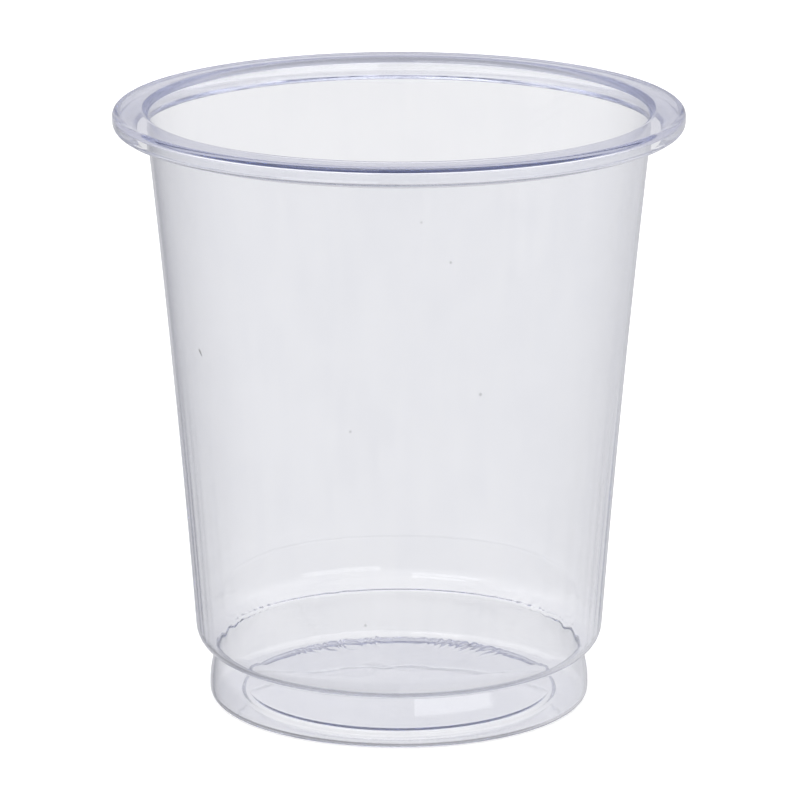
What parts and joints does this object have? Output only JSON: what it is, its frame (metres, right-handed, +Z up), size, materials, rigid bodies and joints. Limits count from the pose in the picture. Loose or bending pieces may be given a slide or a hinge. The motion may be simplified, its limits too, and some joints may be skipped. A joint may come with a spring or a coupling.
{
  "type": "plastic shot glass",
  "caption": "Clear thermoformed single-use shot glass: tapered thin wall, rolled rim, stacking shoulder and a stepped foot ring.",
  "frame": {"origin": "centre of the foot ring's resting plane", "axes": "+Z up the cup's own axis; the picture looks along +Y and down"},
  "size_m": [0.05, 0.05, 0.0534],
  "materials": {
    "clear_plastic": "clear glossy thermoformed sheet with a faint blue tint"
  },
  "bodies": {
    "root": {"cup": "clear_plastic"}
  },
  "joints": []
}
